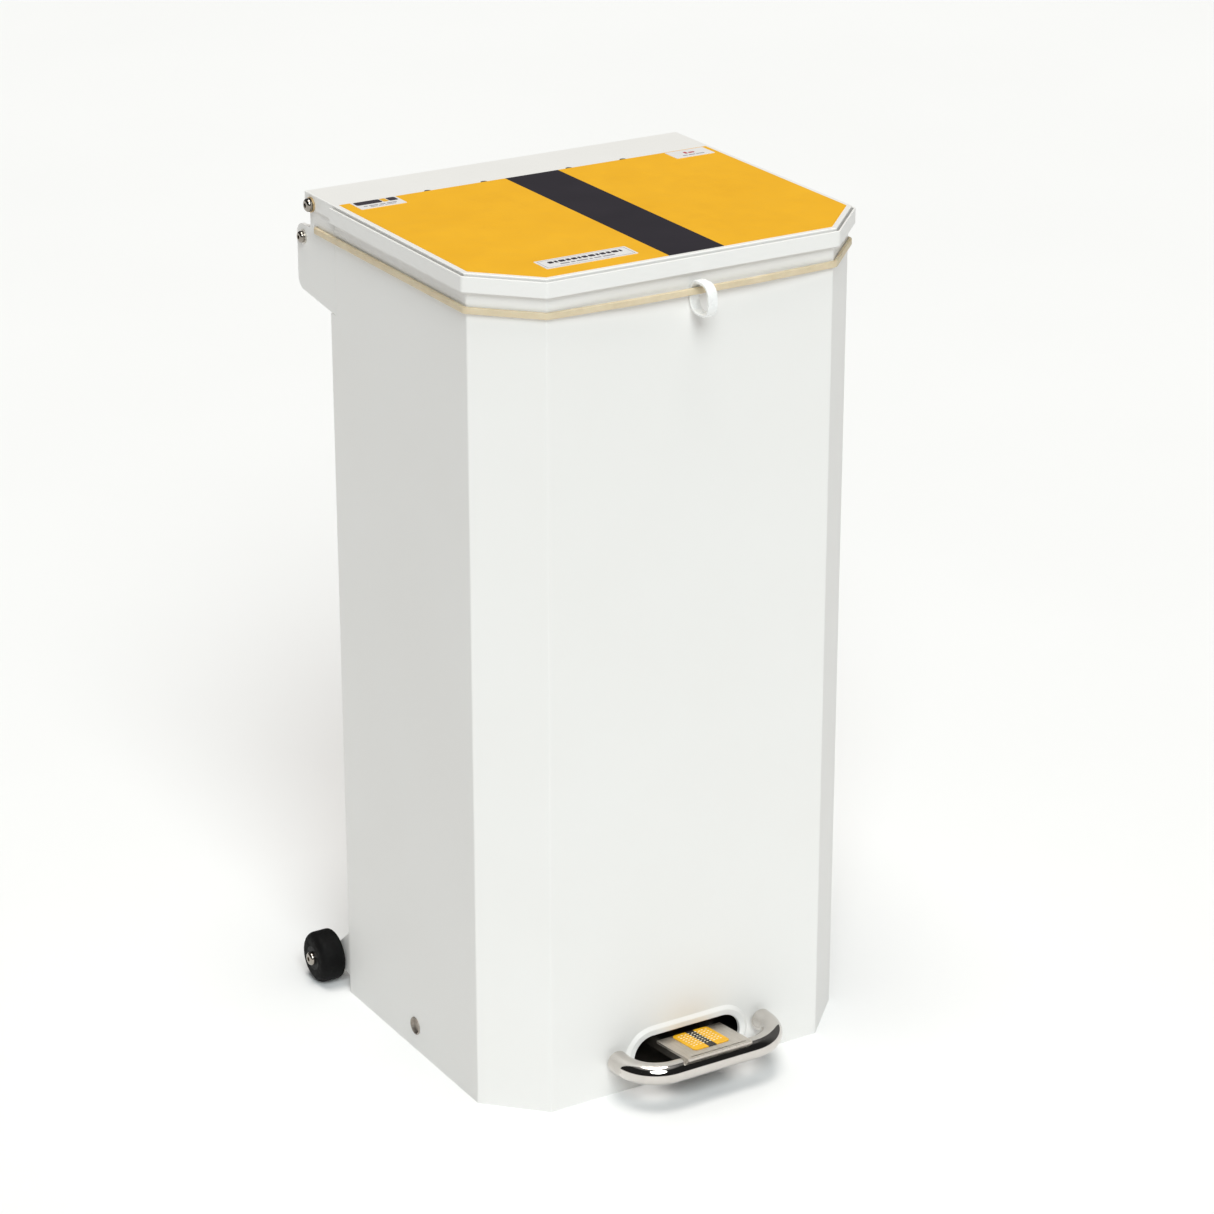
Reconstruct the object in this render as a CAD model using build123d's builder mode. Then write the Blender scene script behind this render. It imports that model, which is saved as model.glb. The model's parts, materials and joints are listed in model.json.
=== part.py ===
from build123d import *
import os
from math import asin, cos, degrees, radians, sin, sqrt

# A hospital pedal bin in painted sheet steel. The pedal turns on an axle low in the body, its tail lifts
# a push rod in a channel behind the back panel, and the rod swings the lid up about two hinge screws.
# Millimetres. x runs across the bin, y from the pedal towards the hinge, z up. The origin is on the floor,
# at the centre of the bin's outer box.

os.makedirs("parts", exist_ok=True)

# ---- driving dimensions ----

body_width = 392.0
body_depth = 304.0
body_height = 788.0
corner_leg = 50.0  # leg of the 45 degree front corners
sheet = 1.5
bend = 3.0  # outer radius of a folded corner
front_y = -154.0  # outer face of the front panel

lid_top = 800.0
pan_overhang = 2.5
trim_overhang = 6.0
label_inset = 2.0
side_fold = 14.0  # depth of the lid's folded edge
pan_depth = 345.0  # back edge of the lid, behind the front panel
label_depth = 285.5
trim_depth = 290.0
film = 0.3  # adhesive film

hinge_depth = 332.0
hinge_z = 790.0
lift_radius = 15.0  # hinge axis to lift pin
lift_start = 35.0  # the pin starts this many degrees below the hinge axis
lid_travel = 68.0  # degrees
pin_radius = 3.0

axle_depth = 170.0
axle_z = 25.0
axle_radius = 7.0
tail_reach = 150.0  # axle to the push rod's lower pin

wheel_depth = 341.0
wheel_z = 26.5
wheel_radius = 25.0

running_gap = 0.05
free_gap = 0.3

# ---- values worked out from them ----

half_width = body_width / 2
rear_y = front_y + body_depth
start, end = radians(-lift_start), radians(lid_travel - lift_start)
rod_travel = lift_radius * (sin(end) - sin(start))
pedal_travel = 2 * degrees(asin(rod_travel / 2 / tail_reach))
tail_droop = radians(pedal_travel / 2)

sides = {"left": -1, "right": 1}


def behind(distance):
    """The y of a point this far behind the outer face of the front panel."""
    return front_y + distance


hinge_y = behind(hinge_depth)
lift_y = hinge_y - lift_radius * cos(start)
lift_z = hinge_z + lift_radius * sin(start)
axle_y = behind(axle_depth)
tail_y = axle_y + tail_reach * cos(tail_droop)
tail_z = axle_z - tail_reach * sin(tail_droop)
rod_y = tail_y
wheel_y = behind(wheel_depth)


def plan_points(grow, rear):
    """Corners of the body's plan, grown outwards, from the rear left round the front to the rear right."""
    half = half_width + grow
    front = front_y - grow
    leg = corner_leg + grow * (2 - sqrt(2))
    return [
        (-half, rear),
        (-half, front + leg),
        (-half + leg, front),
        (half - leg, front),
        (half, front + leg),
        (half, rear),
    ]


def plan_face(grow, rear, radius):
    """The body's plan as a face, with its four front corners rounded."""
    with BuildSketch(mode=Mode.PRIVATE) as plan:
        Polygon(*plan_points(grow, rear), align=None)
        fillet(plan.vertices().filter_by(lambda vertex: vertex.Y < rear - 1), radius)
    return plan.sketch


def side_plane(x):
    """A plane across the bin at x: sketch x is the bin's y, and sketch y is z."""
    return Plane.YZ.offset(x)


def outward_plane(side, x, y, z):
    """A plane on one side of the bin whose normal points away from the bin's middle."""
    return Plane(origin=(side * x, y, z), x_dir=(0, 1, 0), z_dir=(side, 0, 0))


def finish(piece, name):
    """Name a finished piece and write it."""
    piece.part.label = name
    export_step(piece.part, f"parts/{name}.step")


def button_screw(shank_radius, shank_length, head_radius, head_height):
    """A screw along +z with its head's underside at z = 0 and a hexagon socket in the domed head."""
    rim = head_height * 0.3
    crown = head_radius * 0.45
    with BuildPart(mode=Mode.PRIVATE) as screw:
        with BuildSketch(Plane.XZ):
            with BuildLine():
                Polyline(
                    (crown, head_height),
                    (0, head_height),
                    (0, -shank_length),
                    (shank_radius, -shank_length),
                    (shank_radius, 0),
                    (head_radius, 0),
                    (head_radius, rim),
                )
                TangentArc((head_radius, rim), (crown, head_height), tangent=(0, 1))
            make_face()
        revolve(axis=Axis.Z)
        with BuildSketch(Plane.XY.offset(head_height)):
            RegularPolygon(radius=crown * 0.85, side_count=6)
        extrude(amount=-head_height * 0.55, mode=Mode.SUBTRACT)
    return screw.part


def hex_nut(bore_radius, across_flats, height):
    """A nut along +z with its seat at z = 0."""
    with BuildPart(mode=Mode.PRIVATE) as nut:
        with BuildSketch():
            RegularPolygon(radius=across_flats / 2, side_count=6, major_radius=False)
            Circle(bore_radius, mode=Mode.SUBTRACT)
        extrude(amount=height)
    return nut.part


def ring(outer_radius, inner_radius, length):
    """A plain ring along +z from z = 0."""
    with BuildPart(mode=Mode.PRIVATE) as plain:
        with BuildSketch():
            Circle(outer_radius)
            Circle(inner_radius, mode=Mode.SUBTRACT)
        extrude(amount=length)
    return plain.part


def headed_pin(radius, half_length, head_radius, head_length):
    """A pin along z, centred on z = 0, with a head on each end."""
    with BuildPart(mode=Mode.PRIVATE) as pin:
        Cylinder(radius, 2 * half_length)
        with Locations((0, 0, half_length + head_length / 2), (0, 0, -half_length - head_length / 2)):
            Cylinder(head_radius, head_length)
        chamfer(pin.faces().sort_by(Axis.Z)[0].edges(), head_length * 0.3)
        chamfer(pin.faces().sort_by(Axis.Z)[-1].edges(), head_length * 0.3)
    return pin.part


# ---- body shell: front, front corners and sides folded from one sheet ----

rear_return = 16.5  # flange turned in along each rear corner
base_flange = 18.0
rim_flange = 10.0
ear_cut_depth = 293.0
ear_bottom = 694.6
opening_width = 116.0
opening_height = 40.0
opening_z = 30.0
opening_rim = 9.5
opening_rim_height = 2.5

with BuildPart() as body_shell:
    with BuildSketch():
        add(plan_face(0, rear_y, bend))
        add(plan_face(-sheet, rear_y - sheet, bend - sheet), mode=Mode.SUBTRACT)
        with Locations((0, rear_y)):
            Rectangle(body_width - 2 * rear_return, 4 * sheet, mode=Mode.SUBTRACT)
    extrude(amount=body_height)
    with BuildSketch():
        add(plan_face(-sheet / 2, rear_y - sheet, bend))
        add(plan_face(-base_flange, rear_y - base_flange, bend), mode=Mode.SUBTRACT)
    extrude(amount=sheet)
    with BuildSketch(Plane.XY.offset(body_height - sheet)):
        add(plan_face(-sheet / 2, behind(ear_cut_depth), bend))
        add(plan_face(-rim_flange, rear_y, bend), mode=Mode.SUBTRACT)
    extrude(amount=sheet)
    # the hinge ears stand in for the top of the rear corners
    ear_cut = body_depth - ear_cut_depth + 1
    with Locations(
        *[(side * half_width, behind(ear_cut_depth), ear_bottom) for side in sides.values()]
    ):
        Box(
            2 * rear_return + 2,
            ear_cut,
            body_height,
            align=(Align.CENTER, Align.MIN, Align.MIN),
            mode=Mode.SUBTRACT,
        )
    # pressed rim round the pedal opening, then the opening itself
    with BuildSketch(Plane.XZ.offset(-front_y)):
        with Locations((0, opening_z)):
            SlotOverall(opening_width + 2 * opening_rim, opening_height + 2 * opening_rim)
    extrude(amount=opening_rim_height, taper=55)
    with BuildSketch(Plane.XZ.offset(-front_y - 2 * sheet)):
        with Locations((0, opening_z)):
            SlotOverall(opening_width, opening_height)
    extrude(amount=2 * sheet + 2 * opening_rim_height, mode=Mode.SUBTRACT)
    rim_face = body_shell.faces().sort_by(Axis.Y)[0]
    fillet(rim_face.edges(), 1.2)
    with BuildSketch(side_plane(0)):
        with Locations((axle_y, axle_z)):
            Circle(axle_radius)
    extrude(amount=body_width, both=True, mode=Mode.SUBTRACT)
finish(body_shell, "body_shell")

# ---- back panel, set in behind the rear corner flanges, with a slot for the pedal's tail ----

spine_half = 24.0
spine_foot = 14.0
spine_screw_radius = 2.0
screw_rows = (60.0, 240.0, 420.0, 600.0, 725.0)
spine_screw_places = [
    (side * (spine_half + spine_foot / 2), z) for z in screw_rows for side in sides.values()
]

back_half = half_width - 2 * sheet
back_top = 786.5
back_y = rear_y - 2 * sheet  # its front face
tail_slot_width = 18.0
tail_slot_low, tail_slot_high = 6.0, 50.0

with BuildPart() as back_panel:
    with BuildSketch(Plane.XY.offset(sheet)):
        with Locations((0, back_y)):
            Rectangle(2 * back_half, sheet, align=(Align.CENTER, Align.MIN))
    extrude(amount=back_top - sheet)
    with BuildSketch(Plane.XY.offset(back_top - sheet)):
        with Locations((0, back_y)):
            Rectangle(2 * back_half, rim_flange, align=(Align.CENTER, Align.MAX))
    extrude(amount=sheet)
    with BuildSketch(Plane.XZ.offset(-back_y)):
        with Locations((0, (tail_slot_low + tail_slot_high) / 2)):
            RectangleRounded(tail_slot_width, tail_slot_high - tail_slot_low, 4)
        with Locations(*spine_screw_places):
            Circle(spine_screw_radius)
    extrude(amount=3 * sheet, both=True, mode=Mode.SUBTRACT)
finish(back_panel, "back_panel")

# ---- floor tray: the bottom of the bag space, above the pedal's works ----

tray_z = 78.0
tray_skirt = 12.0

with BuildPart() as floor_tray:
    with BuildSketch(Plane.XY.offset(tray_z)):
        add(plan_face(-sheet, back_y, bend - sheet))
    extrude(amount=sheet)
    with BuildSketch(Plane.XY.offset(tray_z - tray_skirt)):
        add(plan_face(-sheet, back_y, bend - sheet))
        add(plan_face(-2 * sheet, back_y - sheet, bend - sheet), mode=Mode.SUBTRACT)
    extrude(amount=tray_skirt)
finish(floor_tray, "floor_tray")

# ---- base plate: closes the foot of the body, on the shell's base flange ----

with BuildPart() as base_plate:
    with BuildSketch(Plane.XY.offset(sheet)):
        add(plan_face(-sheet, back_y, bend - sheet))
    extrude(amount=sheet)
finish(base_plate, "base_plate")

# ---- hinge ears: one on each side, with the hinge hole on top and the handle's lobe behind ----

ear_thickness = 3.0
ear_seam = 0.4
ear_back = 368.0
ear_neck = 340.0
ear_lobe_top = 765.6
ear_front_top = 786.0
ear_lap = 25.0  # the part that laps inside the shell
handle_depth = 355.0
handle_z = 754.0
handle_radius = 10.0
hinge_screw_radius = 3.0
band_slot = (325.4, 333.0)  # front and back of the band's slot
band_z = 767.0
band_height = 6.0
band_thickness = 3.5
handle_y = behind(handle_depth)

for side_name, side in sides.items():
    inner_x = side * (half_width - ear_thickness)
    with BuildPart() as hinge_ear:
        with BuildSketch(side_plane(inner_x)) as ear_outline:
            Polygon(
                (behind(ear_cut_depth + ear_seam), ear_bottom),
                (behind(ear_back), ear_bottom + 9.5),
                (behind(ear_back), ear_lobe_top),
                (behind(ear_neck), ear_lobe_top),
                (behind(ear_neck), hinge_z + 8),
                (hinge_y - 8, hinge_z + 8),
                (hinge_y - 14, ear_front_top),
                (behind(ear_cut_depth + ear_seam), ear_front_top),
                align=None,
            )
            rear_corners = ear_outline.vertices().filter_by(
                lambda vertex: vertex.X > behind(ear_back) - 1
            )
            fillet(rear_corners, 11)
            notch = ear_outline.vertices().filter_by(
                lambda vertex: abs(vertex.X - behind(ear_neck)) < 1 and vertex.Y < ear_front_top
            )
            fillet(notch, 5)
            top_corners = ear_outline.vertices().filter_by(lambda vertex: vertex.Y > hinge_z + 7)
            fillet(top_corners, 7.5)
        extrude(amount=side * ear_thickness)
        with BuildSketch(side_plane(inner_x)):
            with Locations((behind(ear_cut_depth + ear_seam), ear_bottom + 8)):
                Rectangle(
                    ear_lap,
                    ear_front_top - ear_bottom - 8,
                    align=(Align.MAX, Align.MIN),
                )
        extrude(amount=side * sheet)
        with BuildSketch(side_plane(inner_x)):
            with Locations((hinge_y, hinge_z), (handle_y, handle_z)):
                Circle(hinge_screw_radius)
            with Locations((behind(sum(band_slot) / 2), band_z)):
                Rectangle(band_slot[1] - band_slot[0], band_height + 0.6)
        extrude(amount=side * ear_thickness, mode=Mode.SUBTRACT)
    finish(hinge_ear, f"{side_name}_hinge_ear")

# ---- rear handle: a tube between the ears, closed by threaded plugs ----

handle_half = half_width - ear_thickness
handle_bore = 8.0
plug_length = 14.0

with BuildPart() as rear_handle:
    with BuildSketch(side_plane(-handle_half)):
        with Locations((handle_y, handle_z)):
            Circle(handle_radius)
            Circle(handle_bore, mode=Mode.SUBTRACT)
    extrude(amount=2 * handle_half)
finish(rear_handle, "rear_handle_tube")

with BuildPart() as handle_plugs:
    plug = ring(handle_bore, hinge_screw_radius, plug_length)
    for side in sides.values():
        with Locations(outward_plane(side, handle_half - plug_length, handle_y, handle_z)):
            add(plug)
finish(handle_plugs, "handle_end_plugs")

washer_thickness = 1.5

with BuildPart() as handle_washers:
    washer = ring(6.5, hinge_screw_radius, washer_thickness)
    for side in sides.values():
        with Locations(outward_plane(side, half_width, handle_y, handle_z)):
            add(washer)
finish(handle_washers, "handle_washers")

with BuildPart() as handle_screws:
    screw = button_screw(hinge_screw_radius, 15, 5.5, 3.8)
    for side in sides.values():
        with Locations(outward_plane(side, half_width + washer_thickness, handle_y, handle_z)):
            add(screw)
finish(handle_screws, "handle_screws")

# ---- hinge: screws fixed in the ears, turning in flanged bushes that are fixed in the lid ----

pan_half = half_width + pan_overhang
bush_radius = 4.5
bush_flange_radius = 7.0
bush_flange = 1.8
hinge_head_x = pan_half + bush_flange + free_gap

with BuildPart() as hinge_screws:
    screw = button_screw(hinge_screw_radius, hinge_head_x - 187, 6.3, 4.4)
    for side in sides.values():
        with Locations(outward_plane(side, hinge_head_x, hinge_y, hinge_z)):
            add(screw)
finish(hinge_screws, "hinge_screws")

with BuildPart() as hinge_nuts:
    nut = hex_nut(hinge_screw_radius, 10, 5)
    for side in sides.values():
        with Locations(outward_plane(side, half_width - ear_thickness - 5, hinge_y, hinge_z)):
            add(nut)
finish(hinge_nuts, "hinge_nuts")

with BuildPart() as hinge_bushes:
    sleeve_x = half_width + free_gap
    bore = hinge_screw_radius + running_gap
    sleeve = ring(bush_radius, bore, pan_half - sleeve_x)
    flange = ring(bush_flange_radius, bore, bush_flange)
    for side in sides.values():
        with Locations(outward_plane(side, sleeve_x, hinge_y, hinge_z)):
            add(sleeve)
        with Locations(outward_plane(side, pan_half, hinge_y, hinge_z)):
            add(flange)
finish(hinge_bushes, "hinge_bushes")

# ---- lid pan: a shallow tray turned upside down over the body ----

rear_fold = 4.0
pan_rear = behind(pan_depth)

with BuildPart() as lid_pan:
    with BuildSketch(Plane.XY.offset(lid_top - side_fold)):
        add(plan_face(pan_overhang, pan_rear, bend))
    extrude(amount=side_fold)
    with BuildSketch(Plane.XY.offset(lid_top - side_fold)):
        add(plan_face(pan_overhang - sheet, pan_rear - sheet, bend - sheet))
    extrude(amount=side_fold - sheet, mode=Mode.SUBTRACT)
    # only a short fold across the back, and a rounded rear end on each side fold
    with BuildSketch(Plane.XY.offset(lid_top - side_fold)):
        with Locations((0, pan_rear)):
            Rectangle(2 * (pan_half - sheet), 6 * sheet, mode=Mode.ADD)
    extrude(amount=side_fold - rear_fold, mode=Mode.SUBTRACT)
    fold_corners = lid_pan.edges().filter_by(Axis.X).group_by(Axis.Z)[0].group_by(Axis.Y)[-1]
    fillet(fold_corners, 7.5)
    crown_edges = lid_pan.faces().sort_by(Axis.Z)[-1].edges()
    fillet(crown_edges, 1.0)
    with BuildSketch(side_plane(0)):
        with Locations((hinge_y, hinge_z)):
            Circle(bush_radius)
    extrude(amount=body_width, both=True, mode=Mode.SUBTRACT)
    rivet_depth = 286.0
    rivet_x = (45.0, 103.5)
    rivet_places = [(side * x, behind(rivet_depth)) for side in sides.values() for x in rivet_x]
    with BuildSketch(Plane.XY.offset(lid_top)):
        with Locations(*rivet_places):
            Circle(3.5)
    extrude(amount=-sheet, mode=Mode.SUBTRACT)
finish(lid_pan, "lid_pan")

# ---- trim: an upstand round the lid's front and sides, joined to the foot of the pan's fold ----

trim_bottom = 784.0
trim_wall = 1.8
trim_foot = 2.0
trim_top = 797.8

with BuildPart() as lid_trim:
    trim_rear = behind(trim_depth)
    with BuildSketch(Plane.XY.offset(trim_bottom)):
        add(plan_face(trim_overhang, trim_rear, bend + 2))
        add(plan_face(trim_overhang - trim_wall, rear_y, bend), mode=Mode.SUBTRACT)
    extrude(amount=trim_top - trim_bottom)
    with BuildSketch(Plane.XY.offset(trim_bottom)):
        add(plan_face(trim_overhang - trim_wall / 2, trim_rear, bend))
        add(plan_face(pan_overhang - sheet, rear_y, bend - sheet), mode=Mode.SUBTRACT)
    extrude(amount=trim_foot)
    top_edges = lid_trim.faces().sort_by(Axis.Z)[-1].edges()
    fillet(top_edges, 0.6)
finish(lid_trim, "lid_trim_strip")

# ---- lid films: yellow label, black stripe and three plain stickers ----

stripe_half = 28.0
stripe_x = 4.5  # the stripe was laid slightly to the right of the middle

with BuildPart() as lid_label:
    with BuildSketch(Plane.XY.offset(lid_top)):
        add(plan_face(-label_inset, behind(label_depth), 1.5))
        with Locations((stripe_x, front_y)):
            Rectangle(2 * stripe_half, 4 * body_depth, mode=Mode.SUBTRACT)
    extrude(amount=film)
finish(lid_label, "lid_label_yellow")

with BuildPart() as lid_stripe:
    with BuildSketch(Plane.XY.offset(lid_top)):
        with Locations((stripe_x, front_y + label_inset)):
            Rectangle(
                2 * stripe_half,
                label_depth - label_inset,
                align=(Align.CENTER, Align.MIN),
            )
    extrude(amount=film)
finish(lid_stripe, "lid_stripe_black")

stickers = {
    "front_notice_sticker": (-88.0, 32.5, 91.0, 24.0),
    "rear_left_sticker": (-161.0, 273.0, 46.0, 24.0),
    "rear_right_sticker": (168.0, 272.0, 42.0, 23.0),
}
for sticker_name, (x, depth, width, height) in stickers.items():
    with BuildPart() as sticker:
        with BuildSketch(Plane.XY.offset(lid_top + film)):
            with Locations((x, behind(depth))):
                RectangleRounded(width, height, 1.2)
        extrude(amount=film)
    finish(sticker, sticker_name)

# ---- lift bracket: riveted under the lid, its two lugs hold the lift pin ----

bracket_half = 115.0
bracket_plate = 2.0
lug_inner = 6.2
lug_thickness = 2.5
lug_radius = 7.0
bracket_top = lid_top - sheet
bracket_front, bracket_back = behind(279.0), behind(326.0)

with BuildPart() as lift_bracket:
    with BuildSketch(Plane.XY.offset(bracket_top - bracket_plate)) as bracket_plan:
        with Locations((0, (bracket_front + bracket_back) / 2)):
            Rectangle(2 * bracket_half, bracket_back - bracket_front)
        fillet(bracket_plan.vertices(), 6)
    extrude(amount=bracket_plate)
    for side in sides.values():
        with BuildSketch(side_plane(side * lug_inner)):
            with BuildLine():
                lug_base = bracket_top - bracket_plate / 2
                Polyline(
                    (lift_y + lug_radius, lift_z),
                    (lift_y + lug_radius, lug_base),
                    (lift_y - 2 * lug_radius, lug_base),
                    (lift_y - lug_radius, lift_z),
                )
                RadiusArc(
                    (lift_y - lug_radius, lift_z),
                    (lift_y + lug_radius, lift_z),
                    -lug_radius,
                )
            make_face()
            with Locations((lift_y, lift_z)):
                Circle(pin_radius, mode=Mode.SUBTRACT)
        extrude(amount=side * lug_thickness)
    with BuildSketch(Plane.XY.offset(bracket_top)):
        with Locations(*rivet_places):
            Circle(2)
    extrude(amount=-bracket_plate, mode=Mode.SUBTRACT)
finish(lift_bracket, "lid_lift_bracket")

with BuildPart() as lid_rivets:
    with Locations(*[(x, y, lid_top) for x, y in rivet_places]):
        Cylinder(3.5, sheet, align=(Align.CENTER, Align.CENTER, Align.MAX))
    with Locations(*[(x, y, bracket_top) for x, y in rivet_places]):
        Cylinder(2, bracket_plate, align=(Align.CENTER, Align.CENTER, Align.MAX))
    with Locations(*[(x, y, bracket_top - bracket_plate) for x, y in rivet_places]):
        Cylinder(3.2, 1.5, align=(Align.CENTER, Align.CENTER, Align.MAX))
finish(lid_rivets, "lid_rivets")

with BuildPart() as lift_pin:
    with Locations(Plane(origin=(0, lift_y, lift_z), z_dir=(1, 0, 0))):
        add(headed_pin(pin_radius, lug_inner + lug_thickness, 4.5, 1.5))
finish(lift_pin, "lift_pin")

# ---- lid buffers: rubber studs that close on the body's rim ----

buffer_radius = 4.0
buffer_places = [(side * 110, behind(6)) for side in sides.values()]
buffer_places += [(side * 190, behind(200)) for side in sides.values()]

with BuildPart() as lid_buffers:
    with Locations(*[(x, y, body_height + free_gap) for x, y in buffer_places]):
        Cylinder(
            buffer_radius,
            bracket_top - body_height - free_gap,
            align=(Align.CENTER, Align.CENTER, Align.MIN),
        )
    fillet(lid_buffers.faces().filter_by(Axis.Z).group_by(Axis.Z)[0].edges(), 1.2)
finish(lid_buffers, "lid_buffers")

# ---- pedal axle: a bar across the body with dished heads, and the collars that centre the pedal ----

head_radius, head_height = 8.7, 1.0
dish_mouth, dish_floor, dish_depth = 7.6, 5.5, 2.6
pedal_half = 34.0  # half the pedal hub's length

with BuildPart() as pedal_axle:
    with BuildSketch(side_plane(-half_width)):
        with Locations((axle_y, axle_z)):
            Circle(axle_radius)
    extrude(amount=body_width)
    for side in sides.values():
        with Locations(outward_plane(side, half_width, axle_y, axle_z)):
            Cylinder(head_radius, head_height, align=(Align.CENTER, Align.CENTER, Align.MIN))
        with Locations(outward_plane(side, half_width + head_height, axle_y, axle_z)):
            Cone(
                dish_floor,
                dish_mouth,
                dish_depth,
                align=(Align.CENTER, Align.CENTER, Align.MAX),
                mode=Mode.SUBTRACT,
            )
    end_faces = [pedal_axle.faces().sort_by(Axis.X)[index] for index in (0, -1)]
    fillet([face.outer_wire().edges()[0] for face in end_faces], 0.5)
finish(pedal_axle, "pedal_axle")

with BuildPart() as axle_collars:
    collar = ring(11, axle_radius, 7)
    for side in sides.values():
        with Locations(outward_plane(side, pedal_half + free_gap, axle_y, axle_z)):
            add(collar)
finish(axle_collars, "axle_collars")

# ---- pedal hub and arms: one welded frame that turns on the axle and carries the bar ----

hub_radius = 13.0
bush_outer = 10.0
arm_inner, arm_thickness = 28.0, 4.0
arm_low = 31.5  # underside of the arms inside the opening
bar_z = 37.0
bar_radius = 10.5
bar_front = 49.5  # the front run's centre line, ahead of the front panel
bar_y = behind(-bar_front)
plate_rise = radians(7.0)  # the plate climbs towards the front
plate_thickness = 2.5
plate_front, plate_back = -11.3, 45.5  # along the plate, from its line of contact with the bar
plate_normal = (0, sin(plate_rise), cos(plate_rise))


def tread_plane(height):
    """The plate's plane, this far above the bar: sketch y runs back along the plate from the bar."""
    level = bar_radius + height
    return Plane(origin=(0, bar_y, bar_z), x_dir=(1, 0, 0), z_dir=plate_normal).offset(level)


def under_plate(along):
    """The point (y, z) of the plate's underside this far back along it."""
    place = tread_plane(0).from_local_coords((0, along, 0))
    return (place.Y, place.Z)


with BuildPart() as pedal_frame:
    for side in sides.values():
        with BuildSketch(side_plane(side * arm_inner)):
            Polygon(
                under_plate(0),
                under_plate(plate_back + 2),
                (axle_y, axle_z + hub_radius),
                (axle_y, axle_z - hub_radius),
                (behind(80), 24),
                (behind(10), arm_low),
                (bar_y, bar_z),
                align=None,
            )
            with Locations((axle_y, axle_z)):
                Circle(hub_radius)
            with Locations((bar_y, bar_z)):
                Circle(bar_radius, mode=Mode.SUBTRACT)
        extrude(amount=side * arm_thickness)
    with BuildSketch(side_plane(-pedal_half)):
        with Locations((axle_y, axle_z)):
            Circle(hub_radius)
    extrude(amount=2 * pedal_half)
    with BuildSketch(side_plane(0)):
        with Locations((axle_y, axle_z)):
            Circle(bush_outer)
    extrude(amount=body_width, both=True, mode=Mode.SUBTRACT)
finish(pedal_frame, "pedal_frame")

with BuildPart() as pedal_bushes:
    bush = ring(bush_outer, axle_radius + running_gap, 10)
    for side in sides.values():
        with Locations(outward_plane(side, pedal_half - 10, axle_y, axle_z)):
            add(bush)
finish(pedal_bushes, "pedal_bushes")

# ---- pedal tail: the bar behind the axle that lifts the push rod ----

tail_half = 4.0
tail_tip_radius = 8.0
tail_pin_slack = 0.5  # the open pivot's clearance

with BuildPart() as pedal_tail:
    with BuildSketch(side_plane(-tail_half)):
        Polygon(
            (axle_y, axle_z + 10),
            (axle_y, axle_z - 10),
            (tail_y, tail_z - tail_tip_radius),
            (tail_y, tail_z + tail_tip_radius),
            align=None,
        )
        with Locations((tail_y, tail_z)):
            Circle(tail_tip_radius)
        with Locations((tail_y, tail_z)):
            Circle(pin_radius + tail_pin_slack, mode=Mode.SUBTRACT)
        with Locations((axle_y, axle_z)):
            Circle(hub_radius, mode=Mode.SUBTRACT)
    extrude(amount=2 * tail_half)
finish(pedal_tail, "pedal_tail_bar")

# ---- pedal plate, the strip that packs its front edge on the bar, and the tread films on it ----

plate_half = 35.0
groove_place = -7.7  # the slot cut along the plate's front edge
groove_length, groove_width = 60.0, 1.3
packing_back = -3.0
pad_place = 23.1  # the film's middle, along the plate
pad_length, pad_width = 42.0, 39.0
pad_stripe = 8.5
pad_film = 0.6

with BuildPart() as pedal_plate:
    with BuildSketch(tread_plane(0)):
        with Locations((0, (plate_front + plate_back) / 2)):
            RectangleRounded(2 * plate_half, plate_back - plate_front, 1)
        with Locations((0, groove_place)):
            Rectangle(groove_length, groove_width, mode=Mode.SUBTRACT)
    extrude(amount=plate_thickness)
    top_face = pedal_plate.faces().sort_by(Axis((0, bar_y, bar_z), plate_normal))[-1]
    fillet(top_face.outer_wire().edges(), 0.3)
finish(pedal_plate, "pedal_plate")

with BuildPart() as front_strip:
    with BuildSketch(side_plane(-plate_half)):
        Polygon((bar_y, bar_z), under_plate(plate_front), under_plate(packing_back), align=None)
        with Locations((bar_y, bar_z)):
            Circle(bar_radius, mode=Mode.SUBTRACT)
    extrude(amount=2 * plate_half)
finish(front_strip, "pedal_front_strip")

with BuildPart() as pedal_pad:
    with BuildSketch(tread_plane(plate_thickness)):
        with Locations((0, pad_place)):
            RectangleRounded(pad_width, pad_length, 4.5)
            Rectangle(pad_stripe, pad_length + 1, mode=Mode.SUBTRACT)
    extrude(amount=pad_film)
finish(pedal_pad, "pedal_pad_yellow")

with BuildPart() as pad_middle:
    with BuildSketch(tread_plane(plate_thickness)):
        with Locations((0, pad_place)):
            Rectangle(pad_stripe, pad_length)
    extrude(amount=pad_film)
finish(pad_middle, "pedal_pad_stripe")

# ---- pedal bar: a chromed tube bent in a U in front of the panel, with closed ends ----

bar_half = 79.0
bar_bend = 36.0
bar_gap = 5.0  # between the bar's ends and the front panel
bar_cap = 2.5
bar_wall = 1.5

with BuildPart() as pedal_bar:
    with BuildLine() as bar_line:
        FilletPolyline(
            (-bar_half, behind(-bar_gap - bar_cap), bar_z),
            (-bar_half, bar_y, bar_z),
            (bar_half, bar_y, bar_z),
            (bar_half, behind(-bar_gap - bar_cap), bar_z),
            radius=bar_bend,
        )
    with BuildSketch(bar_line.line ^ 0):
        Circle(bar_radius)
        Circle(bar_radius - bar_wall, mode=Mode.SUBTRACT)
    sweep()
finish(pedal_bar, "pedal_bar")

with BuildPart() as bar_caps:
    with BuildSketch(Plane.XZ.offset(-behind(-bar_gap))):
        with Locations(*[(side * bar_half, bar_z) for side in sides.values()]):
            Circle(bar_radius)
    extrude(amount=bar_cap)
    fillet(bar_caps.faces().sort_by(Axis.Y)[-2:].edges(), 1.5)
finish(bar_caps, "pedal_bar_caps")

# ---- push rod: clevis on the tail bar, round rod, and a slotted head on the lift pin ----

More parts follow.
